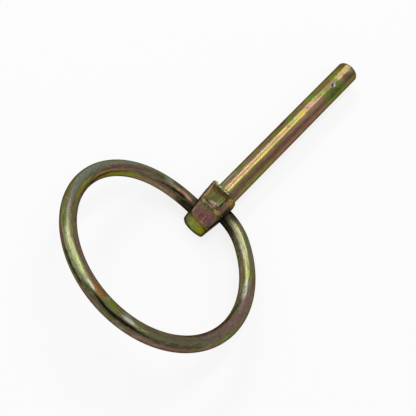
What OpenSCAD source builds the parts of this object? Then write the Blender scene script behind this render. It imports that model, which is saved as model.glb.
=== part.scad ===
// Lynch pin: a round steel pin forged in one piece with a tapered block head,
// and a round spring ring. The ring's two ends sit in a pair of blind sockets,
// one from each side of the head, set one behind the other along the pin.
// Because the sockets are offset the wire is twisted a little as the ring
// swings over, and that is what snaps it shut across the shaft.
//
// Millimetres. The origin is the centre of the shoulder on the pin's axis.
// +X runs to the tip, +Y lies along the ring's hinge, and +Z is up with the
// pin lying on the back of its head.

/* [Shaft] */
// Diameter of the round shaft
shaft_d = 4.5; // [3.6:0.1:5]
// Length of the shaft, from the shoulder to the tip
shaft_length = 41.5; // [36:0.5:60]
// Rounding of the edge at the tip
tip_round = 0.4; // [0.1:0.05:0.8]
// Fillet where the shaft meets the shoulder
shoulder_fillet = 0.25; // [0.1:0.05:0.4]

/* [Head] */
// Length of the head along the pin
head_length = 8.5; // [8:0.1:12]
// Width of the head across its shoulder
shoulder_width = 6.7; // [6:0.1:9]
// Width of the head at its free end
head_end_width = 5; // [4.6:0.1:6]
// How far the head's middle lies to the left of the pin's axis
head_shift = 0.17; // [0:0.01:0.3]
// Thickness of the head
head_thickness = 5; // [4.6:0.1:7]
// Radius of the crown that the free end is pressed to
end_crown = 7.5; // [6:0.5:20]
// Rounding of the two long edges on the left
left_edge_round = 0.55; // [0.2:0.05:0.9]
// Rounding of the two long edges on the right
right_edge_round = 0.9; // [0.2:0.05:1]
// Rounding of the edges around the free end
end_edge_round = 0.45; // [0.2:0.05:0.7]
// Length of the flat that takes off the front shoulder corner
shoulder_bevel = 1.6; // [0.5:0.1:2]
// Depth of that flat, across the head
bevel_depth = 0.7; // [0.2:0.05:1]

/* [Stake mark] */
// Length of the punched mark along the pin
mark_length = 3.7; // [2.5:0.1:5]
// Width of the punched mark
mark_width = 2.95; // [2:0.05:3.5]
// Depth of the mark at its right wall
mark_depth = 0.45; // [0.2:0.05:0.6]
// Rim left between the mark and the shoulder
mark_rim = 0.25; // [0.2:0.05:0.8]
// How far the mark's middle lies to the left of the pin's axis
mark_shift = 0.82; // [0:0.02:1]
// Radius of the punch's rounded left side
mark_scoop = 5; // [3:0.1:6]

/* [Sockets] */
// Distance from the shoulder to the hinge line, midway between the sockets
hinge_back = 4.05; // [3.8:0.05:4.6]
// Offset between the two sockets along the pin
socket_offset = 3.15; // [2.6:0.05:3.3]
// Solid left between the sockets' blind ends, across the middle
socket_web = 0.8; // [0.5:0.1:1.5]
// Gap all round a ring end in its socket
socket_clearance = 0.08; // [0.02:0.01:0.1]
// Depth of the flare at a socket's mouth
mouth_flare = 0.4; // [0.2:0.05:0.6]

/* [Ring] */
// Diameter of the spring wire
wire_d = 3.1; // [2.4:0.05:3.3]
// Distance from the hinge line to the middle of the wire at the ring's far side
ring_reach = 36.2; // [32:0.2:44]
// Angle at which the ring leans up from straight back
ring_lean = 22.7; // [5:0.1:60]
// How far the far side is carried to the left of the pin's axis
ring_carry = 2.4; // [0:0.1:4]
// Twist of the wire at the far side, out of the plane of the hinge
ring_twist = 5.5; // [0:0.5:8]
// Tangent length of the bend beside the front socket
front_bend = 3.3; // [2.5:0.1:5]
// Tangent length of the bend beside the rear socket
rear_bend = 4.4; // [2.5:0.1:6]
// Gap between the end of the wire and the bottom of its socket
end_gap = 0.15; // [0.05:0.05:0.4]

/* [Hidden] */
$fn = 96;

// how much longer a cutter is than what it cuts
over = 1;
// how far the shaft reaches into the head
sunk = 1.5;
// how much the wire's radius draws down at each bend
wire_draw = 0.01;
// how far one stretch of wire runs on inside the next
wire_lap = 0.3;
// how little the edges around the shoulder are rounded
shoulder_round = 0.1;
// how much flatter than a quarter circle the long edges are rounded
edge_slack = 1.3;
left = [0, 1, 0];
shaft_r = shaft_d / 2;
wire_r = wire_d / 2;
socket_r = wire_r + socket_clearance;
half_thick = head_thickness / 2;
taper = atan((shoulder_width - head_end_width) / 2 / head_length);
front_socket_x = socket_offset / 2 - hinge_back;
rear_socket_x = -socket_offset / 2 - hinge_back;
blind_y = socket_web / 2;

// how far the head's side lies from the pin's axis at a place x along the pin,
// on the left where hand is 1 and on the right where it is -1
function side_y(x, hand) = shoulder_width / 2 + x * tan(taper) + hand * head_shift;

function unit(v) = v / norm(v);

// ------------------------------------------------------------------ outlines

// where the rounding of corner b, between a and c, has its centre
function round_centre(a, b, c, r) =
    let(u = unit(a - b), v = unit(c - b), half = acos(u * v) / 2)
    b + unit(u + v) * r / sin(half);

// where that rounding touches the side from b towards p
function round_touch(a, b, c, p, r) =
    let(half = acos(unit(a - b) * unit(c - b)) / 2)
    b + unit(p - b) * r / tan(half);

// a convex outline with each corner rounded to its own radius
module rounded_outline(points, radii) {
    count = len(points);
    polygon([
        for (i = [0:count - 1])
            let(a = points[(i + count - 1) % count], b = points[i], c = points[(i + 1) % count])
            each [round_touch(a, b, c, a, radii[i]), round_touch(a, b, c, c, radii[i])]
    ]);
    for (i = [0:count - 1])
        if (radii[i] > 0)
            translate(round_centre(points[(i + count - 1) % count], points[i],
                                   points[(i + 1) % count], radii[i]))
                circle(r = radii[i]);
}

// ----------------------------------------------------------------------- pin

// half section of the shaft, turned about the pin's axis
module shaft_section() {
    translate([0, -sunk])
        square([shaft_r, shaft_length + sunk - tip_round]);
    square([shaft_r - tip_round, shaft_length]);
    translate([shaft_r - tip_round, shaft_length - tip_round])
        circle(r = tip_round);
    difference() {
        translate([0, -sunk])
            square([shaft_r + shoulder_fillet, shoulder_fillet + sunk]);
        translate([shaft_r + shoulder_fillet, shoulder_fillet])
            circle(r = shoulder_fillet);
    }
}

module shaft() {
    rotate([90, 0, 90])
        rotate_extrude()
            shaft_section();
}

// the head seen from above: tapered to its free end, which is crowned
module head_plan() {
    intersection() {
        rounded_outline(
            [[0, side_y(0, 1)],
             [-head_length, side_y(-head_length, 1)],
             [-head_length, -side_y(-head_length, -1)],
             [-shoulder_bevel, -side_y(-shoulder_bevel, -1)],
             [0, bevel_depth - side_y(-shoulder_bevel, -1)]],
            [shoulder_round, end_edge_round, end_edge_round, end_edge_round, shoulder_round]);
        translate([end_crown - head_length, head_shift])
            circle(r = end_crown);
    }
}

// the head seen from the side
module head_side() {
    rounded_outline(
        [[0, half_thick], [-head_length, half_thick],
         [-head_length, -half_thick], [0, -half_thick]],
        [shoulder_round, end_edge_round, end_edge_round, shoulder_round]);
}

// what is taken off the head's upper edge on one side to round it. The arc is a
// little flatter than a quarter circle, as a worn forging die leaves it.
module long_edge_cut(hand, radius) {
    long = head_length + 2 * over;
    arc_r = edge_slack * radius;
    inset = radius / 2 + sqrt(arc_r * arc_r / 2 - radius * radius / 4);
    translate([-head_length, hand * side_y(-head_length, hand), half_thick])
        rotate([0, 0, hand * taper])
            difference() {
                translate([-over, -radius, -radius])
                    cube([long, 2 * radius, 2 * radius]);
                translate([-2 * over, -hand * inset, -inset])
                    rotate([0, 90, 0])
                        cylinder(r = arc_r, h = long + 2 * over);
            }
}

// the block head, without its sockets and its mark
module head() {
    difference() {
        intersection() {
            translate([0, 0, -half_thick])
                linear_extrude(head_thickness)
                    head_plan();
            translate([0, shoulder_width, 0])
                rotate([90, 0, 0])
                    linear_extrude(2 * shoulder_width)
                        head_side();
        }
        for (face = [0, 1])
            mirror([0, 0, face]) {
                long_edge_cut(1, left_edge_round);
                long_edge_cut(-1, right_edge_round);
            }
    }
}

// one blind socket with a flared mouth
module socket(x, hand) {
    mouth = side_y(x, hand);
    rotate([0, 0, 90 - 90 * hand])
        translate([hand * x, blind_y, 0])
            rotate([-90, 0, 0])
                cylinder(r = socket_r, h = mouth + over - blind_y);
    rotate([0, 0, 90 - 90 * hand])
        translate([hand * x, mouth - mouth_flare, 0])
            rotate([-90, 0, 0])
                cylinder(r1 = socket_r, r2 = socket_r + mouth_flare + over, h = mouth_flare + over);
}

// the punched mark that stakes the ring's end. The punch is square at its right wall,
// flat across its nose, and round on the left, where the mark runs out in the face.
module stake_mark() {
    right_wall = mark_shift - mark_width / 2;
    run_out = sqrt(mark_depth * (2 * mark_scoop - mark_depth));
    long = mark_length + 2 * over;
    translate([-mark_rim - mark_length, right_wall, half_thick - mark_depth])
        intersection() {
            cube([mark_length, mark_width, mark_depth + over]);
            union() {
                translate([-over, -over, 0])
                    cube([long, mark_width - run_out + over, mark_depth + 2 * over]);
                translate([-over, mark_width - run_out, mark_scoop])
                    rotate([0, 90, 0])
                        cylinder(r = mark_scoop, h = long);
            }
        }
}

module pin() {
    color([0.66, 0.60, 0.32])
        difference() {
            union() {
                shaft();
                head();
            }
            socket(rear_socket_x, 1);
            socket(front_socket_x, -1);
            stake_mark();
        }
}

// ---------------------------------------------------------------------- ring

// where the ring's far side lies, and which way its wire runs there
back = [-cos(ring_lean), 0, sin(ring_lean)];
lift = [sin(ring_lean), 0, cos(ring_lean)];
far_point = [-hinge_back, ring_carry, 0] + ring_reach * back;
far_way = unit(left + tan(ring_twist) * lift);

// tangent length of the big bend that carries on from an end bend of tangent
// length bend, so that the two meet with no kink
function main_tangent(corner, way, bend) =
    let(w = far_point - corner)
    (w * w - bend * bend) / (2 * (w * way + bend));

// where the end bend and the big bend meet
function bend_joint(corner, way, bend) =
    let(main = main_tangent(corner, way, bend), other = far_point - main * way)
    corner + bend * unit(other - corner);

// wire bent to a true arc that leaves a point along a line (forward is 1, or -1
// to leave it backwards) and passes through another point, then runs on a little
module bent_wire(at, along, forward, to, radius, run_on) {
    chord = unit(to - at);
    way = forward * along;
    half_turn = acos(way * chord);
    inward = unit(chord - cos(half_turn) * way);
    bend_r = norm(to - at) / (2 * sin(half_turn));
    across = unit(cross([0, 0, 1], along));
    upward = cross(along, across);
    multmatrix([[across[0], upward[0], along[0], at[0]],
                [across[1], upward[1], along[1], at[1]],
                [across[2], upward[2], along[2], at[2]]])
        rotate([0, 0, atan2(inward * upward, inward * across)])
            multmatrix([[-1, 0, 0, bend_r],
                        [0, 0, forward, 0],
                        [0, forward, 0, 0]])
                rotate_extrude(angle = 2 * half_turn + run_on / bend_r * 180 / PI)
                    translate([bend_r, 0])
                        circle(r = radius);
}

// half the ring: the straight end in its socket, the bend beside the head and
// the big bend from the far side. hand is 1 for the left and -1 for the right.
// The wire draws down a hair at each bend, so each stretch ends inside the next.
module half_ring(x, hand, bend) {
    lead = side_y(x, hand) - mouth_flare;
    start = [x, hand * lead, 0];
    corner = start + bend * hand * left;
    joint = bend_joint(corner, -hand * far_way, bend);
    bottom = blind_y + end_gap;
    translate([x, hand * bottom, 0])
        rotate([-90 * hand, 0, 0])
            cylinder(r = wire_r - 2 * wire_draw, h = lead - bottom + wire_lap);
    bent_wire(start, left, hand, joint, wire_r - wire_draw, wire_lap);
    bent_wire(far_point, far_way, hand, joint, wire_r, 0);
}

module spring_ring() {
    color([0.58, 0.52, 0.30])
        union() {
            half_ring(front_socket_x, -1, front_bend);
            half_ring(rear_socket_x, 1, rear_bend);
        }
}

pin();
spring_ring();
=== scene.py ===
from math import acos, cos, hypot, pi, radians, sin, sqrt, tan

import bmesh
import bpy
from mathutils import Matrix, Vector
from mathutils.noise import noise


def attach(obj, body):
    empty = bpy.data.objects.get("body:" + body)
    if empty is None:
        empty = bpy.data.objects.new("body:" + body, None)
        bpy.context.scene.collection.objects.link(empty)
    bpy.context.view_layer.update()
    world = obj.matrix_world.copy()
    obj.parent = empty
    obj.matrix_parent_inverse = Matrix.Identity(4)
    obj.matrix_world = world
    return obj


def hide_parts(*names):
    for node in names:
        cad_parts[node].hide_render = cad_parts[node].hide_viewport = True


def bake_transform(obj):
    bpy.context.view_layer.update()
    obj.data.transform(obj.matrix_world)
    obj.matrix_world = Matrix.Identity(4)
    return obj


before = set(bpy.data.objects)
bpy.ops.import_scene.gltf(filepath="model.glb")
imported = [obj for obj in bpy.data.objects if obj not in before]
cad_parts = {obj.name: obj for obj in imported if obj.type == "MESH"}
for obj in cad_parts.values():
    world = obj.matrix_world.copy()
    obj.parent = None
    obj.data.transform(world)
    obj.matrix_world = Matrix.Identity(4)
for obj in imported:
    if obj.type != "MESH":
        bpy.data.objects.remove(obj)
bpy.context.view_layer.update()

# ------------------------------------------------------------------- the pin
# One steel forging: a round shaft, and a block head that tapers to a crowned free
# end. Two blind sockets are drilled in from the head's sides, one behind the other,
# and a square punch has struck the top face to pinch the ring's end in its socket.

# sizes in millimetres, made at that scale and brought to metres at the end
shaft_r, shaft_end, tip_round, root_fillet = 2.25, 41.5, 0.4, 0.18
head_back, half_thick, head_shift = -8.5, 2.5, 0.17
left_shoulder, left_end = 3.52, 2.67
right_corner, right_bevel, right_end = -2.6, -3.02, -2.33
bevel_x = -1.6
left_round, right_round, under_round, end_round, shoulder_round = 0.45, 0.9, 0.45, 0.28, 0.12
# the crown of the free end: its radius, where it starts to draw the head's sides with
# it, and how much further it leans at the left corner
crown_r, crown_from, crown_lean = 7.5, -3.5, 0.35
# the sockets: one at each side of the hinge line, with the width and depth of their bells
hinge_x, socket_x, socket_r, socket_bottom = -4.05, 1.575, 1.63, 0.4
front_bell, rear_bell = (0.72, 0.85), (0.5, 0.55)


def smooth(t):
    """0 below 0, 1 above 1, and an even curve between."""
    t = min(1, max(0, t))
    return t * t * (3 - 2 * t)


def bump(t):
    """1 at 0, falling to 0 at 1 and beyond on both sides."""
    return 1 - smooth(abs(t))


def rings_joined(shape, rings):
    """Faces between rings of vertices, and across the first and the last."""
    around = len(rings[0])
    for low, high in zip(rings, rings[1:]):
        for k in range(around):
            shape.faces.new((low[k], low[(k + 1) % around], high[(k + 1) % around], high[k]))
    shape.faces.new(rings[0][::-1])
    shape.faces.new(rings[-1])


def solid(name, shape):
    """An object in the scene from a bmesh in millimetres."""
    bmesh.ops.recalc_face_normals(shape, faces=shape.faces)
    mesh = bpy.data.meshes.new(name)
    shape.to_mesh(mesh)
    shape.free()
    made = bpy.data.objects.new(name, mesh)
    bpy.context.collection.objects.link(made)
    return made


def modified(body, kind, **settings):
    """Puts one modifier on a body and applies it."""
    step = body.modifiers.new(kind, kind)
    for key, value in settings.items():
        setattr(step, key, value)
    with bpy.context.temp_override(object=body, active_object=body, selected_objects=[body]):
        bpy.ops.object.modifier_apply(modifier=step.name)


def combined(body, tool, operation):
    """Cuts one solid with another, or joins the two, and throws the tool away."""
    modified(body, "BOOLEAN", operation=operation, solver="EXACT", object=tool)
    bpy.data.objects.remove(tool)


def turned(name, profile, around=160):
    """A solid turned about the X axis from (x, radius) points."""
    shape = bmesh.new()
    rings_joined(shape, [
        [shape.verts.new((x, r * cos(a), r * sin(a)))
         for a in [2 * pi * k / around for k in range(around)]] for x, r in profile])
    return solid(name, shape)


def part_way(first, second, t):
    """The point that lies a part t of the way from one point to another."""
    return tuple(p + (q - p) * t for p, q in zip(first, second))


def head_side_y(x, hand):
    """How far out the head's side lies at x, on the left (1) or the right (-1)."""
    if hand > 0:
        return left_shoulder + (left_end - left_shoulder) * x / head_back
    if x > bevel_x:
        return right_corner + (right_bevel - right_corner) * x / bevel_x
    return right_bevel + (right_end - right_bevel) * (x - bevel_x) / (head_back - bevel_x)


def head_section(x, inset):
    """The head's outline across the pin at x, taken in by inset, with its long edges rounded."""
    high = half_thick - inset
    corners = []
    for hand, level, turn, r in ((1, 1, 0, left_round), (-1, 1, 90, right_round),
                                 (-1, -1, 180, under_round), (1, -1, 270, left_round)):
        r = max(0.08, r - inset)
        side = head_side_y(x, hand) - hand * inset
        corners.append([(x, side - hand * r + r * cos(a), level * (high - r) + r * sin(a))
                        for a in [radians(turn + 90 * k / 12) for k in range(13)]])
    points = []
    for corner, after in zip(corners, corners[1:] + corners[:1]):
        points += corner
        points += [part_way(corner[-1], after[0], k / 8) for k in range(1, 8)]
    return points


def head_block():
    """The forged block, lofted from the shoulder to its crowned end."""
    middle = half_thick - 0.2
    stations = [(0, shoulder_round)]
    stations += [(-shoulder_round * (1 - cos(a)), shoulder_round * (1 - sin(a)))
                 for a in (pi / 6, pi / 3, pi / 2)]
    stations += [(-shoulder_round + (head_back + end_round + shoulder_round) * k / 40, 0)
                 for k in range(1, 41)]
    stations += [(head_back + end_round * (1 - sin(a)), end_round * (1 - cos(a)))
                 for a in (pi / 10, pi / 5, 3 * pi / 10, 2 * pi / 5, pi / 2)]
    stations += [(head_back, end_round + (middle - end_round) * k / 12) for k in range(1, 13)]
    shape = bmesh.new()
    rings = [[shape.verts.new(p) for p in head_section(x, inset)] for x, inset in stations]
    rings_joined(shape, rings)
    # the free end is pressed to a crown, its left corner most: its edges lie further
    # forward than its middle
    for vert in shape.verts:
        if vert.co.x < crown_from:
            sag = crown_r - sqrt(crown_r ** 2 - (vert.co.y - head_shift) ** 2)
            sag += crown_lean * smooth((vert.co.y - 1.6) / 1.2)
            vert.co.x += sag * smooth((vert.co.x - crown_from) / (head_back - crown_from))
    return solid("head", shape)


def socket_cutter(x, hand, bell, bell_depth):
    """A drill for one blind socket, with the mouth opened to a bell."""
    mouth = abs(head_side_y(x, hand))
    profile = [(socket_bottom, socket_r)]
    profile += [(mouth - bell_depth * (1 - t), socket_r + bell * t * t)
                for t in (0, 0.25, 0.5, 0.75, 1)]
    profile += [(mouth + 1.5, socket_r + bell * 4)]
    around = 96
    shape = bmesh.new()
    rings_joined(shape, [
        [shape.verts.new((x + r * cos(a), hand * out, r * sin(a)))
         for a in [2 * pi * k / around for k in range(around)]] for out, r in profile])
    return solid("drill", shape)


# the four corners of the punched mark in the top face, and its depth at its right wall
mark_front_left, mark_front_right = (-0.4, 2.8), (-0.3, -0.72)
mark_back_left, mark_back_right = (-4.2, 2.2), (-4.05, -0.62)
mark_depth = 0.5


def punch():
    """The square-nosed punch: deep at its right wall, rounded and running out on the left."""
    steps = 14
    shape = bmesh.new()

    def spot(u, v, grow):
        """A point of the mark, u from its front and v from its right, moved outward by grow."""
        right = part_way(mark_front_right, mark_back_right, u)
        left = part_way(mark_front_left, mark_back_left, u)
        x, y = part_way(right, left, v)
        return x + grow * (0.5 - u) * 2, y + grow * (v - 0.5) * 2

    floor, lid = [], []
    for i in range(steps + 1):
        u = i / steps
        floor.append([])
        lid.append([])
        for j in range(steps + 1):
            v = j / steps
            # the floor rises to the left, and again to the back and the front wall
            run_out = max(0, (v - 0.25) / 0.75)
            depth = mark_depth * (1 - 0.85 * run_out ** 2)
            depth *= 1 - 0.75 * smooth((u - 0.74) / 0.26)
            depth *= 0.4 + 0.6 * smooth(u / 0.17)
            x, y = spot(u, v, -0.05)
            floor[-1].append(shape.verts.new((x, y, half_thick - depth)))
            x, y = spot(u, v, 0.1)
            lid[-1].append(shape.verts.new((x, y, half_thick + 0.4)))
    for i in range(steps):
        for j in range(steps):
            shape.faces.new((floor[i][j], floor[i][j + 1], floor[i + 1][j + 1], floor[i + 1][j]))
            shape.faces.new((lid[i][j], lid[i + 1][j], lid[i + 1][j + 1], lid[i][j + 1]))
    for i in range(steps):
        shape.faces.new((floor[i][0], floor[i + 1][0], lid[i + 1][0], lid[i][0]))
        shape.faces.new((floor[i + 1][steps], floor[i][steps], lid[i][steps], lid[i + 1][steps]))
        shape.faces.new((floor[0][i + 1], floor[0][i], lid[0][i], lid[0][i + 1]))
        shape.faces.new((floor[steps][i], floor[steps][i + 1], lid[steps][i + 1], lid[steps][i]))
    return solid("punch", shape)


# the shaft's root, with its fillet at the shoulder, is forged with the head
root_profile = [(-1.0, 2.1), (-0.02, shaft_r + root_fillet)]
root_profile += [(root_fillet * (1 - cos(a)), shaft_r + root_fillet * (1 - sin(a)))
                 for a in [k * pi / 16 for k in range(1, 9)]]
root_profile += [(0.6, shaft_r), (0.7, shaft_r - 0.03), (1.6, shaft_r - 0.03)]
pin = head_block()
combined(pin, turned("root", root_profile), "UNION")
combined(pin, socket_cutter(hinge_x + socket_x, -1, *front_bell), "DIFFERENCE")
combined(pin, socket_cutter(hinge_x - socket_x, 1, *rear_bell), "DIFFERENCE")
combined(pin, punch(), "DIFFERENCE")
modified(pin, "REMESH", mode="VOXEL", voxel_size=0.075, adaptivity=0.0)
modified(pin, "SMOOTH", factor=0.5, iterations=3)

# the punch threw up a thin lip along the shoulder's edge, curled at its right end, and
# flared the shoulder's left corner, and the hammer left low dents
outward_ways = [vert.normal.copy() for vert in pin.data.vertices]
for vert, outward_way in zip(pin.data.vertices, outward_ways):
    x, y, z = vert.co
    if z > 1.6 and -0.9 < x < 0.6:
        near_top = smooth((z - 1.9) / 0.5)
        lip = bump((x + 0.06) / 0.32) * smooth((y + 0.75) / 0.4) * smooth((3.5 - y) / 0.8)
        lip *= near_top
        vert.co.z += 0.2 * lip * (0.8 + 0.4 * noise(Vector((y * 2.1, 3.7, 0))))
        vert.co.x += 0.2 * lip
        curl = bump((y + 0.35) / 0.45) * bump((x - 0.05) / 0.5) * near_top
        vert.co.z += 0.16 * curl
        vert.co.x += 0.14 * curl
    if z > -0.5 and y > 2.0 and x > -0.9:
        corner = bump((x + 0.1) / 0.8) * smooth((y - 2.1) / 0.9) * smooth((z + 0.5) / 2.2)
        vert.co.x += 0.3 * corner
        vert.co.y += 0.05 * corner
    if x < 0.2:
        dent = noise(Vector((x * 0.55, y * 0.55, z * 0.55 + 5)))
        dent += 0.3 * noise(Vector((x * 1.9, y * 1.9, z * 1.9)))
        vert.co -= outward_way * 0.08 * max(0, dent)

# the rest of the shaft is turned, with the small waves that drawing leaves
shaft_from = 0.55
shaft_profile = [(shaft_from, shaft_r - 0.3), (shaft_from, shaft_r)]
shaft_profile += [(shaft_from + (shaft_end - tip_round - shaft_from) * k / 220, shaft_r)
                  for k in range(1, 221)]
shaft_profile += [(shaft_end - tip_round * (1 - sin(a)), shaft_r - tip_round * (1 - cos(a)))
                  for a in [k * pi / 20 for k in range(1, 11)]]
shaft_profile += [(shaft_end, (shaft_r - tip_round) * k / 6) for k in (5, 4, 3, 2, 1)]
shaft_profile += [(shaft_end, 0.02)]
shaft = turned("shaft", shaft_profile)

# where the closed ring has knocked the shaft there is a small round pit with a low rim,
# and drawing left the shaft a hair out of round along its length
knock_x, knock_angle, knock_size, sway_most = 34.85, radians(2), 0.5, 0.006
for vert in shaft.data.vertices:
    x, y, z = vert.co
    off = hypot(x - knock_x, (y - shaft_r * sin(knock_angle)) * 1.2)
    if z > 0 and off < 1.2:
        vert.co.z -= 0.14 * bump(off / knock_size) - 0.03 * bump((off - 0.55) / 0.3)
    if x < shaft_end - 0.6:
        sway = noise(Vector((x * 0.12, 2.5, 9)))
        vert.co.y += sway_most * sway * y / shaft_r
        vert.co.z += sway_most * sway * z / shaft_r
with bpy.context.temp_override(object=pin, active_object=pin, selected_objects=[pin, shaft],
                               selected_editable_objects=[pin, shaft]):
    bpy.ops.object.join()
pin.name = "lynch_pin"
pin.data.transform(Matrix.Scale(0.001, 4))
pin.data.shade_smooth()


class Layer:
    """A value that varies over a finish. Sums and products of layers add their nodes."""

    def __init__(self, socket):
        self.socket = socket

    def node(self, kind, settings, sockets, output=0):
        """Any other node: its type, its settings, then the values or links of its sockets."""
        tree = self.socket.id_data
        made = tree.nodes.new("ShaderNode" + kind)
        for name, value in settings.items():
            setattr(made, name, value)
        for name, value in sockets.items():
            if isinstance(value, Layer):
                tree.links.new(value.socket, made.inputs[name])
            else:
                made.inputs[name].default_value = value
        return Layer(made.outputs[output])

    def maths(self, operation, *values):
        return self.node("Math", {"operation": operation}, dict(enumerate(values)))

    def __add__(self, other):
        return self.maths("ADD", self, other)

    def __sub__(self, other):
        return self.maths("SUBTRACT", self, other)

    def __rsub__(self, other):
        return self.maths("SUBTRACT", other, self)

    def __mul__(self, other):
        return self.maths("MULTIPLY", self, other)

    __radd__ = __add__
    __rmul__ = __mul__

    def between(self, low, high, out_low=0.0, out_high=1.0):
        """Rises smoothly from one value to another as this one goes from low to high."""
        return self.node("MapRange", {"interpolation_type": "SMOOTHSTEP"},
                         {0: self, 1: low, 2: high, 3: out_low, 4: out_high})

    def moved(self, scale, shift=(0, 0, 0)):
        """A place scaled and shifted."""
        return self.node("VectorMath", {"operation": "MULTIPLY_ADD"}, {0: self, 1: scale, 2: shift})

    def split(self):
        """The three numbers of a place."""
        first = self.node("SeparateXYZ", {}, {0: self})
        return [Layer(number) for number in first.socket.node.outputs]

    def mottle(self, scale, size=1.0, detail=3.0, roughness=0.55):
        """Cloudy noise from 0 to 1 at this place, stretched by scale."""
        return self.node("TexNoise", {}, {"Vector": self.moved(scale), "Scale": size,
                                          "Detail": detail, "Roughness": roughness})

    def cover(self, spot, spread, soft):
        """1 inside a patch around a spot of this place, with a soft edge, and 0 outside."""
        spot, spread = (*spot, 0)[:3], (*spread, 1)[:3]
        apart = self.moved([1 / s for s in spread], [-p / s for p, s in zip(spot, spread)])
        far = self.node("VectorMath", {"operation": "LENGTH"}, {0: apart}, 1)
        return far.between(1 + soft, 1 - soft)

    def fade(self, first, second):
        """One colour where this layer is 0, fading to another where it is 1."""
        return self.node("Mix", {"data_type": "RGBA"}, {0: self, 6: first, 7: second}, 2)

    def tinted(self, tint, amount):
        """This colour with another laid over it."""
        return amount.fade(self, tint)


def rgb(red, green, blue):
    """A colour as a maker mixes it, from 0 to 255, in linear light."""
    return tuple(c / 255 / 12.92 if c <= 10 else ((c / 255 + 0.055) / 1.055) ** 2.4
                 for c in (red, green, blue)) + (1.0,)


def new_finish(name):
    """A new material and the node that its finish goes into."""
    made = bpy.data.materials.new(name)
    made.use_nodes = True
    return made, made.node_tree.nodes["Principled BSDF"]


def patched(colour, over, patches, worn, soft=0.35):
    """A colour with patches laid over it where worn lets them through. A patch has its
    middle, how far it reaches each way, its tint and its strength."""
    for spot, spread, tint, strength in patches:
        colour = colour.tinted(tint, over.cover(spot, spread, soft) * (worn * strength))
    return colour


def plated(finish, colour, rough, height):
    """Feeds a bare metal finish with its colour, its roughness and its relief."""
    relief = height.node("Bump", {}, {"Strength": 0.6, "Distance": 0.001, "Height": height})
    for name, value in (("Base Color", colour), ("Roughness", rough), ("Normal", relief)):
        finish.id_data.links.new(value.socket, finish.inputs[name])
    finish.inputs["Metallic"].default_value = 1.0
    finish.inputs["Specular Tint"].default_value = rgb(124, 120, 84)


# the passivated zinc runs through these colours as its film thickens; some of them also serve as
# painted highlights and painted shade
olive, gold, highlight_lemon = rgb(142, 136, 82), rgb(172, 146, 78), rgb(208, 190, 94)
green, moss, lime = rgb(112, 134, 70), rgb(86, 100, 50), rgb(160, 184, 92)
mauve, plum, highlight_rose = rgb(154, 108, 112), rgb(116, 72, 78), rgb(216, 166, 144)
# near black is painted shade at the sockets and on the head, and dark streaks on the wire
brown, umber, near_black = rgb(126, 102, 78), rgb(84, 66, 50), rgb(34, 31, 22)
ash, pewter = rgb(160, 164, 154), rgb(126, 124, 114)
chalk, slate = rgb(208, 202, 180), rgb(92, 94, 94)

steel, steel_finish = new_finish("yellow_zinc_pin")
place_node = steel.node_tree.nodes.new("ShaderNodeTexCoord")
place = Layer(place_node.outputs["Object"]).moved((1000, 1000, 1000))
x_along, y_side, z_up = place.split()
angle = y_side.maths("ARCTAN2", y_side, z_up) * (180 / pi)

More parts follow.
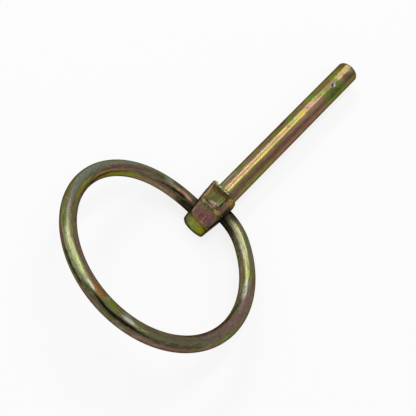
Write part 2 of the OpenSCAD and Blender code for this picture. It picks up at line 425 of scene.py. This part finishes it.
# the shaft: long streaks, drawn out along it and broken into patches
drift = place.mottle((0.35, 0.6, 0.6), 1.0, 2.0)
unrolled = place.node("CombineXYZ", {}, {0: x_along + (drift - 0.5) * 2,
                                         1: angle + (drift - 0.5) * 4})
ragged = place.mottle((0.9, 2.2, 2.2), 1.0, 3.0)
streaky = place.mottle((0.12, 2.6, 2.6), 1.0, 3.0)
cloudy = place.mottle((0.22, 0.45, 0.45), 1.3, 3.0)
film = cloudy * 0.6 + streaky * 0.4
shaft_colour = film.between(0.38, 0.6).fade(brown, olive)
shaft_colour = shaft_colour.tinted(mauve, streaky.between(0.52, 0.72) * 0.6)
shaft_colour = shaft_colour.tinted(green, cloudy.between(0.56, 0.7) * 0.5)
shaft_colour = patched(shaft_colour, unrolled, (
    # painted highlight: pink and yellow along the two lines where the strip lights shine,
    # lightening them
    ((20, 23), (22, 8), highlight_rose, 0.5),
    ((16, 8), (16, 6), highlight_lemon, 0.55),
    ((16.5, -27), (15, 10), rgb(142, 93, 86), 0.85),
    ((22, -28), (12, 5), plum, 0.4),
    ((19, -10), (10, 6), rgb(180, 134, 116), 0.65),
    ((4, 37), (5, 6), rgb(170, 150, 112), 0.6),
    ((37, 38), (4, 6), rgb(150, 142, 80), 0.6),
    ((39.5, -27), (2.2, 9), plum, 0.8),
    ((22, -50), (11, 16), rgb(168, 104, 120), 0.65),
    ((8, -56), (6, 18), olive, 0.8),
    ((26, -10), (6.5, 9), rgb(188, 138, 132), 0.85),
    ((2.4, -45), (1.6, 25), mauve, 0.5),
    ((16, 48), (20, 12), olive, 0.4),
    ((4, 56), (2.2, 12), ash, 0.6),
    ((6.4, 50), (1.4, 12), green, 0.8),
    ((10, 44), (3.2, 9), mauve, 0.4),
    ((17.6, 42), (1.8, 12), green, 0.7),
    ((20.5, 60), (1.4, 14), plum, 0.6),
    ((22.2, 44), (1.2, 14), green, 0.6),
    ((26.5, 44), (1.8, 12), mauve, 0.4),
    ((29.2, 45), (1.8, 20), rgb(136, 158, 60), 0.85),
    ((36.4, 42), (1.0, 16), rgb(116, 156, 50), 0.85),
    ((40.2, 52), (1.2, 16), plum, 0.7),
    # more painted highlight along the two lines, in pink, yellow and lime, and a small painted
    # glint in white
    ((10.5, 23), (6.0, 6), highlight_rose, 0.5),
    ((2.1, 12), (0.9, 12), highlight_rose, 0.45),
    ((27.4, 17), (1.6, 14), highlight_rose, 0.9),
    ((29.5, 8), (2.2, 5), highlight_rose, 0.9),
    ((18.2, 7), (2.0, 5), highlight_rose, 0.8),
    ((6.2, 7), (1.2, 4), highlight_rose, 0.4),
    ((11.6, 7), (3.2, 5), highlight_lemon, 0.75),
    ((18.6, 24), (1.5, 6), highlight_lemon, 0.9),
    ((4, 9), (1.6, 7), highlight_lemon, 0.55),
    ((24.6, 16), (1.5, 14), highlight_lemon, 0.9),
    ((22, 8), (1.8, 5), highlight_lemon, 0.9),
    ((22.1, 24), (1.3, 7), lime, 0.75),
    ((23, 21), (0.4, 5), chalk, 0.8),
    ((29.4, 26), (1.2, 6), lime, 0.95),
    ((34.4, 14), (3.4, 18), brown, 0.5),
    ((34.2, -26), (3.0, 30), rgb(112, 146, 52), 0.95),
    ((34.4, -32), (2.4, 13), moss, 0.85),
    ((34.2, -14), (0.8, 10), umber, 0.5),
    # painted highlight colours on the two lines near the tip
    ((32.2, 14), (0.7, 12), rgb(158, 196, 78), 0.75),
    ((36.6, 16), (0.6, 14), rgb(158, 196, 78), 0.9),
    ((33.4, 16), (0.7, 12), gold, 0.8),
    ((35.6, 18), (0.6, 10), gold, 0.6),
    ((37.5, 10), (0.8, 14), rgb(232, 186, 164), 0.85),
    ((39.6, 22), (1.7, 9), rgb(228, 210, 100), 0.9),
    ((38.2, 20), (0.6, 12), highlight_lemon, 0.9),
    ((39.9, 9), (1.5, 8), rgb(232, 186, 164), 0.85),
    ((37.2, -8), (1.4, 7), rgb(172, 144, 116), 0.7),
    ((38.6, -8), (0.6, 8), plum, 0.5),
    ((38.5, -60), (2.4, 14), olive, 0.6),
    ((40.4, -6), (0.5, 6), chalk, 0.4),
    ((1.0, 40), (0.35, 60), rgb(140, 158, 82), 0.6),
    ((34.9, 4), (0.75, 14), ash, 0.85),
    ((34.7, 6), (0.35, 7), slate, 0.9)), ragged.between(0.28, 0.42))
# and small flecks over all of it, held back along the band where the strip lights' painted and lit
# highlight runs on top
outside_highlight_band = 1 - unrolled.cover((20, 15), (24, 13), 0.45) * 0.7
fleck = place.mottle((1.1, 2.8, 2.8), 1.0, 4.0, 0.7)
blotch = place.mottle((0.55, 2.0, 2.0), 1.0, 4.0, 0.7)
shaft_colour = shaft_colour.tinted(green, fleck.between(0.5, 0.6) * outside_highlight_band * 0.5)
shaft_colour = shaft_colour.tinted(plum, blotch.between(0.52, 0.62) * outside_highlight_band * 0.4)
shaft_colour = shaft_colour.tinted(gold, blotch.between(0.46, 0.38) * outside_highlight_band * 0.35)

# the head: a colour to each face, which the dip and the drying leave uneven, with painted shade
# where faces and edges turn from the light and painted highlights on lit edges and in the mark
wander = place.mottle((0.9, 0.9, 0.9), 1.0, 3.0)
nudge = (wander - 0.5) * 0.6
nudged = place.node("CombineXYZ", {}, {0: x_along + nudge, 1: y_side - nudge, 2: z_up + nudge})
grainy = place.mottle((2.6, 2.6, 2.6), 1.0, 4.0, 0.62)
clay, heather, wine = rgb(90, 78, 50), rgb(110, 76, 73), rgb(104, 58, 68)
fern, mustard = rgb(115, 128, 70), rgb(156, 132, 66)
highlight_pink, fog = rgb(242, 192, 178), rgb(136, 136, 110)
head_colour = wander.between(0.4, 0.6).fade(clay, rgb(98, 92, 54))
head_colour = patched(head_colour, nudged, (
    ((-6.4, 0.3, 2.5), (1.7, 2.4, 1.0), heather, 0.95),
    ((-6.9, -0.4, 2.5), (0.8, 1.1, 0.8), wine, 0.8),
    ((-5.6, 1.0, 2.5), (0.35, 1.2, 0.8), rgb(84, 92, 54), 0.7),
    ((-7.2, 1.8, 2.5), (0.7, 0.7, 0.8), rgb(98, 76, 70), 0.6),
    ((-4.75, 0.2, 2.5), (0.4, 2.4, 0.8), rgb(82, 78, 40), 0.85),
    ((-4.5, 2.2, 2.5), (0.4, 0.4, 0.8), fog, 0.6),
    # painted highlight: a grey line along the right long edge of the top face
    ((-6.5, -1.85, 2.4), (1.2, 0.18, 0.8), pewter, 0.7),
    ((-2.3, 1.2, 2.1), (2.0, 1.9, 0.8), fern, 0.85),
    ((-2.3, 2.1, 2.3), (1.4, 0.6, 0.7), rgb(160, 150, 86), 0.8),
    ((-1.0, 1.2, 2.2), (0.5, 1.9, 0.8), rgb(118, 98, 56), 0.85),
    # painted highlight: pale pink on the sloping end of the punched mark
    ((-3.6, 0.6, 2.2), (0.7, 0.9, 0.8), highlight_pink, 0.9),
    ((-3.9, 1.3, 2.3), (0.16, 1.2, 0.6), rgb(74, 66, 36), 0.8),
    # painted shade: brown on the punched mark's front wall
    ((-0.62, 1.2, 2.2), (0.2, 1.9, 0.8), rgb(84, 62, 36), 0.8),
    ((-3.3, -0.3, 2.1), (0.6, 0.3, 0.8), rgb(140, 136, 96), 0.7),
    ((-4.2, 0.9, 2.5), (0.2, 1.3, 0.6), fog, 0.75),
    ((-3.0, 3.1, 2.3), (2.2, 0.3, 0.8), rgb(126, 82, 72), 0.7),
    ((-6.7, 2.75, 2.2), (1.9, 0.3, 0.8), rgb(70, 54, 46), 0.85),
    ((-2.6, -1.25, 2.5), (1.4, 0.4, 0.8), heather, 0.85),
    ((-4.4, -1.2, 2.5), (0.45, 0.4, 0.8), mustard, 0.8),
    ((-0.9, -1.7, 2.4), (0.9, 0.7, 0.9), mustard, 0.9),
    ((-3.0, -1.72, 2.45), (1.3, 0.14, 0.8), rgb(90, 100, 80), 0.8),
    ((-8.6, 0.3, 0.3), (0.9, 2.2, 1.9), rgb(138, 154, 90), 0.95),
    ((-8.6, -1.2, -0.2), (0.9, 0.9, 1.3), rgb(150, 152, 46), 0.75),
    ((-8.6, 0.9, 0.3), (0.9, 0.35, 1.5), rgb(150, 176, 84), 0.7),
    ((-8.6, 0.5, 1.4), (0.9, 1.4, 0.6), rgb(170, 150, 90), 0.6),
    ((-8.4, -0.4, 2.35), (0.5, 2.2, 0.35), rgb(132, 104, 64), 0.75),
    # painted reflection: grey on the rounded left corner of the end
    ((-8.4, 2.1, 0.2), (0.9, 0.5, 1.6), rgb(146, 140, 124), 0.85),
    # painted shade along the lower edge of the end face
    ((-8.7, 0, -2.1), (0.6, 3, 0.4), umber, 0.8),
    # painted shade: near black on the rounded right edge around the front socket and along the
    # right side toward the end
    ((-3.4, -2.7, 1.7), (2.0, 0.85, 1.5), near_black, 0.97),
    ((-7.0, -2.5, 1.6), (2.2, 0.4, 2.0), near_black, 0.8),
    # painted shadow: a near-black line along the punched mark's right wall
    ((-2.3, -0.8, 2.3), (2.0, 0.17, 0.5), near_black, 0.9),
    ((-0.4, -0.95, 2.4), (0.6, 0.25, 0.5), umber, 0.8),
    # painted highlight: a pale band along the lip's ridge
    ((0.2, 1.3, 2.6), (0.34, 1.9, 0.4), rgb(172, 168, 136), 0.95)), grainy.between(0.22, 0.42), 0.3)
speck = place.mottle((2.0, 2.0, 2.0), 1.0, 4.0, 0.7)
head_colour = head_colour.tinted(rgb(116, 124, 66), speck.between(0.54, 0.64) * 0.4)
head_colour = head_colour.tinted(rgb(88, 60, 54), grainy.between(0.48, 0.4) * 0.5)
head_colour = head_colour.tinted(rgb(150, 120, 100), grainy.between(0.56, 0.64) * 0.35)

# the shaft's colour starts at the shoulder, under the lip
pin_colour = head_colour.tinted(shaft_colour, x_along.between(0.02, 0.3) * z_up.between(2.45, 2.32))
scuff = place.mottle((1.6, 3.0, 3.0), 1.0, 5.0, 0.65)
pin_colour = pin_colour.tinted(ash, scuff.between(0.66, 0.78) * 0.35)
pin_colour = pin_colour.tinted(umber, scuff.between(0.36, 0.26) * 0.5)
pin_rough = (grainy - 0.5) * 0.12 + 0.35 + scuff.between(0.6, 0.75) * 0.12
# fine lines along the drawn shaft, and the pits of a forging's skin on the head
draw_lines = place.mottle((0.06, 4, 4), 1.0, 2.0)
pits = place.mottle((4.5, 4.5, 4.5), 1.0, 3.0)
line_height = x_along.between(0.2, 0.6, 0.0, 0.0015)
pit_height = x_along.between(0.6, 0.1, 0.001, 0.03)
plated(steel_finish, pin_colour, pin_rough, draw_lines * line_height + pits * pit_height)
pin.data.materials.append(steel)
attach(pin, "pin")
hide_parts("pin")

# --------------------------------------------------------------- the spring ring
# One length of round spring wire bent to a ring. Its two ends are sprung into the
# head's sockets from both sides, so it swings, and it is twisted a little because
# the sockets are offset: that twist is what snaps it shut over the shaft.

wire_r, wire_skin, end_gap = 1.55, 0.015, 0.15
# how far the ring reaches back, leans up, is carried to the left and is twisted there
reach, lean, carry, twist = 36.2, radians(22.7), 2.4, radians(5.5)
# where the straight ends come out of the tapered head, and the bends beside it
half_shoulder, head_taper, mouth_flare = 3.35, 0.1, 0.4
front_bend, rear_bend = 3.3, 4.4

back = Vector((-cos(lean), 0, sin(lean)))
lift = Vector((sin(lean), 0, cos(lean)))
leftward = Vector((0, 1, 0))
far_point = Vector((hinge_x, carry, 0)) + reach * back
far_way = (leftward + tan(twist) * lift).normalized()


def bend_points(at, way, to, steps):
    """Points along the true arc that leaves one point in a given way and ends at another."""
    chord = (to - at).normalized()
    half_turn = acos(way.dot(chord))
    inward = (chord - cos(half_turn) * way).normalized()
    bend_r = (to - at).length / (2 * sin(half_turn))
    return [at + bend_r * (sin(t) * way + (1 - cos(t)) * inward)
            for t in [2 * half_turn * k / steps for k in range(steps + 1)]]


def half_line(x, hand, bend):
    """The middle of the wire from the bottom of one socket to the ring's far side."""
    lead = half_shoulder + hand * head_shift + x * head_taper - mouth_flare
    start = Vector((x, hand * lead, 0))
    corner = start + bend * hand * leftward
    way = -hand * far_way
    w = far_point - corner
    main = (w.dot(w) - bend * bend) / (2 * (w.dot(way) + bend))
    other = far_point - main * way
    joint = corner + bend * (other - corner).normalized()
    bottom = socket_bottom + end_gap
    line = [Vector((x, hand * (bottom + (lead - bottom) * k / 8), 0)) for k in range(8)]
    line += bend_points(start, hand * leftward, joint, 36)[:-1]
    line += bend_points(joint, (joint - corner).normalized(), far_point, 180)
    return line


def wire_along(name, line, first, last, around=48):
    """A round wire along a stretch of a line of points, rounded over at the line's own ends."""
    shape = bmesh.new()
    unbent = shape.verts.layers.float_vector.new("unbent")
    rings, run = [], 0
    for i, point in enumerate(line[:last + 1]):
        run += (point - line[i - 1]).length if i else 0
        if i < first:
            continue
        along = (line[min(i + 1, len(line) - 1)] - line[max(i - 1, 0)]).normalized()
        upward = (lift - lift.dot(along) * along).normalized()
        outward = upward.cross(along)
        from_end = min((point - line[0]).length, (point - line[-1]).length)
        r = wire_r - 0.25 * (1 - smooth(from_end / 0.35)) - wire_skin
        rings.append([])
        for k in range(around):
            a = 2 * pi * k / around
            vert = shape.verts.new(point + r * (sin(a) * outward + cos(a) * upward))
            vert[unbent] = (run, r * sin(a), r * cos(a))
            rings[-1].append(vert)
    rings_joined(shape, rings)
    # where two stretches meet, their hidden end faces don't pull at the shading
    for face in shape.faces:
        if len(face.verts) == around:
            for edge in face.edges:
                edge.smooth = False
            face.smooth = False
        else:
            face.smooth = True
    made = solid(name, shape)
    made.data.transform(Matrix.Scale(0.001, 4))
    return made


# the ring in three stretches of one wire: the bow, which is attached to a body of its own,
# and the two arms that stay in their sockets
front_line = half_line(hinge_x + socket_x, -1, front_bend)
rear_line = half_line(hinge_x - socket_x, 1, rear_bend)
wire_line = front_line + rear_line[::-1][1:]
runs = [0]
for low, high in zip(wire_line, wire_line[1:]):
    runs.append(runs[-1] + (high - low).length)


def nearest(run):
    """The number of the point of the wire's line at this distance along it."""
    return min(range(len(runs)), key=lambda i: abs(runs[i] - run))


twist_from, front_twist_to, rear_twist_to, spare = 1.9, 12.5, 14.5, 1.8
front_cut, rear_cut = nearest(front_twist_to + spare), nearest(runs[-1] - rear_twist_to - spare)
bow = wire_along("spring_ring_bow", wire_line, front_cut, rear_cut)
front_arm = wire_along("spring_ring_front_arm", wire_line, 0, front_cut)
rear_arm = wire_along("spring_ring_rear_arm", wire_line, rear_cut, len(wire_line) - 1)

# the wire's finish is laid out along it as it was drawn, before it was bent
wire_steel, wire_finish = new_finish("yellow_zinc_wire")
place_node = wire_steel.node_tree.nodes.new("ShaderNodeAttribute")
place_node.attribute_name = "unbent"
place = Layer(place_node.outputs["Vector"])
run_along, outer, upper = place.split()
angle = outer.maths("ARCTAN2", outer, upper) * (180 / pi)
drift = place.mottle((0.35, 0.7, 0.7), 1.0, 2.0)
unrolled = place.node("CombineXYZ", {}, {0: run_along + (drift - 0.5) * 3,
                                         1: angle + (drift - 0.5) * 20})
ragged = place.mottle((1.0, 3.0, 3.0), 1.0, 4.0, 0.6)
streaky = place.mottle((0.16, 3.0, 3.0), 1.0, 3.0)
cloudy = place.mottle((0.3, 0.8, 0.8), 1.2, 3.0)
film = cloudy * 0.55 + streaky * 0.45
loam, sage = rgb(120, 102, 86), rgb(128, 130, 88)
highlight_cream, highlight_lichen = rgb(170, 164, 128), rgb(146, 156, 108)
wire_colour = film.between(0.42, 0.58).fade(loam, sage)
wire_colour = wire_colour.tinted(mauve, streaky.between(0.5, 0.66) * 0.7)
wire_colour = wire_colour.tinted(green, cloudy.between(0.54, 0.68) * 0.6)
wire_colour = patched(wire_colour, unrolled, (
    # painted shade along the front arm's root, darkest next to its socket
    ((6, -85), (7, 28), umber, 0.9),
    ((5, -100), (3.5, 22), near_black, 0.6),
    # painted highlight along the front arm, in cream, white, lime and yellow streaks among the
    # film's own stripes
    ((9.0, -47), (5.7, 22), highlight_cream, 0.95),
    ((5, -16), (3, 10), rgb(150, 148, 98), 0.8),
    ((13.4, -40), (2.0, 9), gold, 0.55),
    ((8.5, -53), (5, 4), rgb(216, 212, 188), 0.8),
    ((9.5, -33), (5.5, 2.6), rgb(124, 116, 78), 0.7),
    ((10, -25), (5.5, 3), rgb(196, 196, 156), 0.7),
    ((12, -16), (6, 5), rgb(104, 146, 60), 0.9),
    ((9, 14), (7, 22), rgb(140, 134, 112), 0.75),
    ((15.5, -42), (1.6, 12), lime, 0.8),
    ((15.6, -30), (1.6, 5), highlight_lemon, 0.7),
    ((17, -5), (2.4, 8), lime, 0.5),
    ((19.6, -39), (2.8, 18), rgb(192, 196, 176), 0.9),
    ((23.5, -48), (1.8, 16), moss, 0.7),
    ((26, -12), (5.5, 14), mauve, 0.9),
    ((33, -25), (7, 16), plum, 0.5),
    ((28, 6), (10, 44), rgb(158, 122, 128), 0.45),
    ((29, 46), (8, 20), green, 0.35),
    ((34, -60), (13, 14), umber, 0.8),
    ((35.5, -48), (1.6, 9), plum, 0.8),
    ((38.5, 4), (5, 14), rgb(104, 112, 84), 0.7),
    ((36.5, 62), (1.6, 14), mauve, 0.8),
    ((39.2, 66), (1.4, 12), green, 0.95),
    ((44, 94), (8, 24), rgb(134, 86, 88), 0.9),
    ((44, 28), (5, 8), green, 0.5),
    ((43.5, 54), (7, 18), rgb(92, 72, 66), 0.85),
    ((45.2, -36), (2.2, 8), rgb(198, 164, 162), 0.8),
    ((51.5, 26), (2.4, 8), rgb(192, 202, 132), 0.95),
    ((46.5, 30), (2.4, 5), pewter, 0.8),
    # a painted glint on the bow, grey and white
    ((53.5, 8), (0.8, 22), ash, 0.95),
    ((53.2, 22), (1.3, 13), rgb(228, 230, 214), 0.95),
    ((57, 8), (2.6, 22), rgb(130, 142, 44), 0.95),
    ((58.1, -2), (0.5, 14), ash, 0.9),
    ((60.2, 14), (1.4, 32), rgb(166, 106, 54), 0.95),
    ((55.5, 52), (7, 10), near_black, 1.0),
    ((56.5, 70), (4, 9), moss, 0.8),
    ((58, 92), (6, 20), umber, 0.5),
    # painted highlight on the bow where the strips shine on it: a white spot, then pale green,
    # yellow and cream streaks
    ((61.8, 36), (0.9, 10), rgb(228, 226, 206), 0.9),
    ((67.5, 37), (5.5, 19), highlight_lichen, 0.95),
    ((66.5, 31), (4.2, 6), rgb(190, 198, 96), 0.35),
    ((66.5, 48), (5.5, 12), rgb(196, 206, 150), 0.9),
    ((66, -20), (7, 20), rgb(146, 120, 104), 0.8),
    ((67, 66), (4.4, 8), rgb(184, 186, 138), 0.8),
    ((62, 66), (1.4, 8), moss, 0.8),
    ((76, -57), (4, 10), rgb(206, 200, 174), 0.85),
    ((72, -34), (7, 11), rgb(162, 142, 124), 0.6),
    ((66, 84), (4.5, 11), near_black, 0.9),
    ((71, 84), (2.4, 12), plum, 0.9),
    ((74.5, 58), (2.2, 14), green, 0.9),
    ((80, 66), (3.0, 14), rgb(116, 112, 62), 0.8),
    ((75, -14), (5, 16), rgb(140, 116, 88), 0.7),
    ((82, -20), (3.6, 12), rgb(164, 160, 40), 0.95),
    ((89, -56), (6.5, 6), rgb(70, 52, 24), 0.95),
    ((94, -78), (6.5, 18), rgb(136, 136, 38), 0.9),
    ((91, -42), (5.5, 5), rgb(196, 150, 48), 0.9),
    ((96, -24), (6, 8), rgb(144, 78, 88), 0.85),
    ((94, -36), (5, 5), rgb(140, 84, 84), 0.7),
    ((91, 22), (14, 30), rgb(142, 148, 140), 0.9),
    ((103.5, -80), (4.5, 24), rgb(134, 96, 78), 0.8),
    ((105.6, -8), (0.9, 24), rgb(166, 168, 156), 0.95),
    ((103.5, -12), (1.2, 9), moss, 0.8),
    # a painted pink highlight near the rear arm
    ((109, -26), (3.3, 9), rgb(228, 160, 152), 0.95),
    ((108.5, -8), (3.0, 6), green, 0.8),
    ((107.5, -49), (3.4, 8), near_black, 1.0),
    # painted shade at the rear arm's root, next to its socket
    ((111, -85), (2.8, 32), rgb(60, 48, 34), 0.9)), ragged.between(0.3, 0.46))
fleck = place.mottle((1.1, 2.8, 2.8), 1.0, 4.0, 0.7)
blotch = place.mottle((0.6, 2.0, 2.0), 1.0, 4.0, 0.7)
wire_colour = wire_colour.tinted(rgb(106, 138, 58), fleck.between(0.5, 0.6) * 0.5)
wire_colour = wire_colour.tinted(rgb(146, 98, 106), blotch.between(0.52, 0.62) * 0.45)
scuff = place.mottle((0.8, 3.4, 3.4), 1.0, 5.0, 0.7)
wire_colour = wire_colour.tinted(rgb(176, 178, 164), scuff.between(0.56, 0.66) * 0.45)
wire_colour = wire_colour.tinted(umber, scuff.between(0.44, 0.34) * 0.7)
# painted shade, near black, where the wire goes into both sockets, and dark streaks along the bow
# and the arms
wire_colour = patched(wire_colour, unrolled, (
    ((1.4, -20), (1.7, 150), near_black, 0.95),
    ((114.2, -30), (2.2, 150), near_black, 0.9),
    ((2.8, -40), (1.9, 60), near_black, 0.6),
    ((3.8, -92), (2.8, 36), near_black, 0.8),
    ((111.6, -88), (2.4, 34), near_black, 0.75),
    ((55.5, 52), (6.0, 9), near_black, 0.85),
    ((66, 86), (4.0, 8), near_black, 0.6),
    ((108.5, -49), (2.4, 6), near_black, 0.85)), 1, 0.55)
wire_rough = (ragged - 0.5) * 0.2 + 0.38 + scuff.between(0.6, 0.75) * 0.12
draw_lines = place.mottle((0.1, 6, 6), 1.0, 3.0)
pits = place.mottle((3.0, 4.5, 4.5), 1.0, 3.0)
plated(wire_finish, wire_colour, wire_rough, draw_lines * 0.014 + pits * 0.01)
for stretch in (bow, front_arm, rear_arm):
    stretch.data.materials.append(wire_steel)
    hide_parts("spring_ring")
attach(bow, "ring")
for arm, still, swung in ((front_arm, twist_from, front_twist_to),
                          (rear_arm, runs[-1] - twist_from, runs[-1] - rear_twist_to)):
    tuple(wire_line[nearest(still)] * 0.001)
    tuple(wire_line[nearest(swung)] * 0.001)
    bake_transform(arm)

# ------------------------------------------------------ floor, lights and camera
# The part lies on a plain pale floor, a hair below the underside of its head. A grey
# room lights it softly, and two long strips give the bright lines along the steel.

floor_mesh = bmesh.new()
bmesh.ops.create_grid(floor_mesh, x_segments=1, y_segments=1, size=1.5)
floor = solid("floor", floor_mesh)
floor.location.z = -(half_thick + 0.02) * 0.001
pale, surface = new_finish("pale_floor")
rays = pale.node_tree.nodes.new("ShaderNodeLightPath").outputs
seen = Layer(rays["Is Camera Ray"]) + Layer(rays["Is Glossy Ray"])
seen += Layer(rays["Is Transmission Ray"])
floor_colour = seen.fade((0.8, 0.8, 0.8, 1), (1, 1, 1, 1))
pale.node_tree.links.new(floor_colour.socket, surface.inputs["Base Color"])
surface.inputs["Roughness"].default_value = 0.9
surface.inputs["Specular IOR Level"].default_value = 0.0
white = seen.node("Emission", {}, {"Color": (1, 1, 1, 1), "Strength": 1.0})
lit = seen.node("MixShader", {}, {0: seen * 0.82, 1: Layer(surface.outputs["BSDF"]), 2: white})
pale.node_tree.links.new(lit.socket, pale.node_tree.nodes["Material Output"].inputs["Surface"])
floor.data.materials.append(pale)

camera = bpy.data.objects.new("camera", bpy.data.cameras.new("camera"))
bpy.context.collection.objects.link(camera)
camera.data.lens = 110.84
camera.data.sensor_width = 36
camera.data.clip_start = 0.01
camera.location = (-0.114927, -0.000050, 0.215339)
camera.rotation_euler = (radians(20.281), radians(-18.696), radians(-48.693))
bpy.context.scene.camera = camera

world = bpy.data.worlds.new("studio")
bpy.context.scene.world = world
world.use_nodes = True
world.node_tree.nodes["Background"].inputs["Color"].default_value = (0.5, 0.5, 0.5, 1)
bpy.context.scene.view_settings.view_transform = "Standard"

strip_length, strip_breadth, strip_away = 0.45, 0.11, 0.6
for name, turn in (("near_strip", 15), ("far_strip", 47)):
    strip = bpy.data.objects.new(name, bpy.data.lights.new(name, "AREA"))
    bpy.context.collection.objects.link(strip)
    strip.data.shape = "RECTANGLE"
    strip.data.size, strip.data.size_y = strip_length, strip_breadth
    strip.data.energy = 0.84
    outward = Vector((0.25, sin(radians(turn)), cos(radians(turn)))).normalized()
    strip.location = outward * strip_away
    strip.rotation_euler = (radians(-turn), 0, 0)
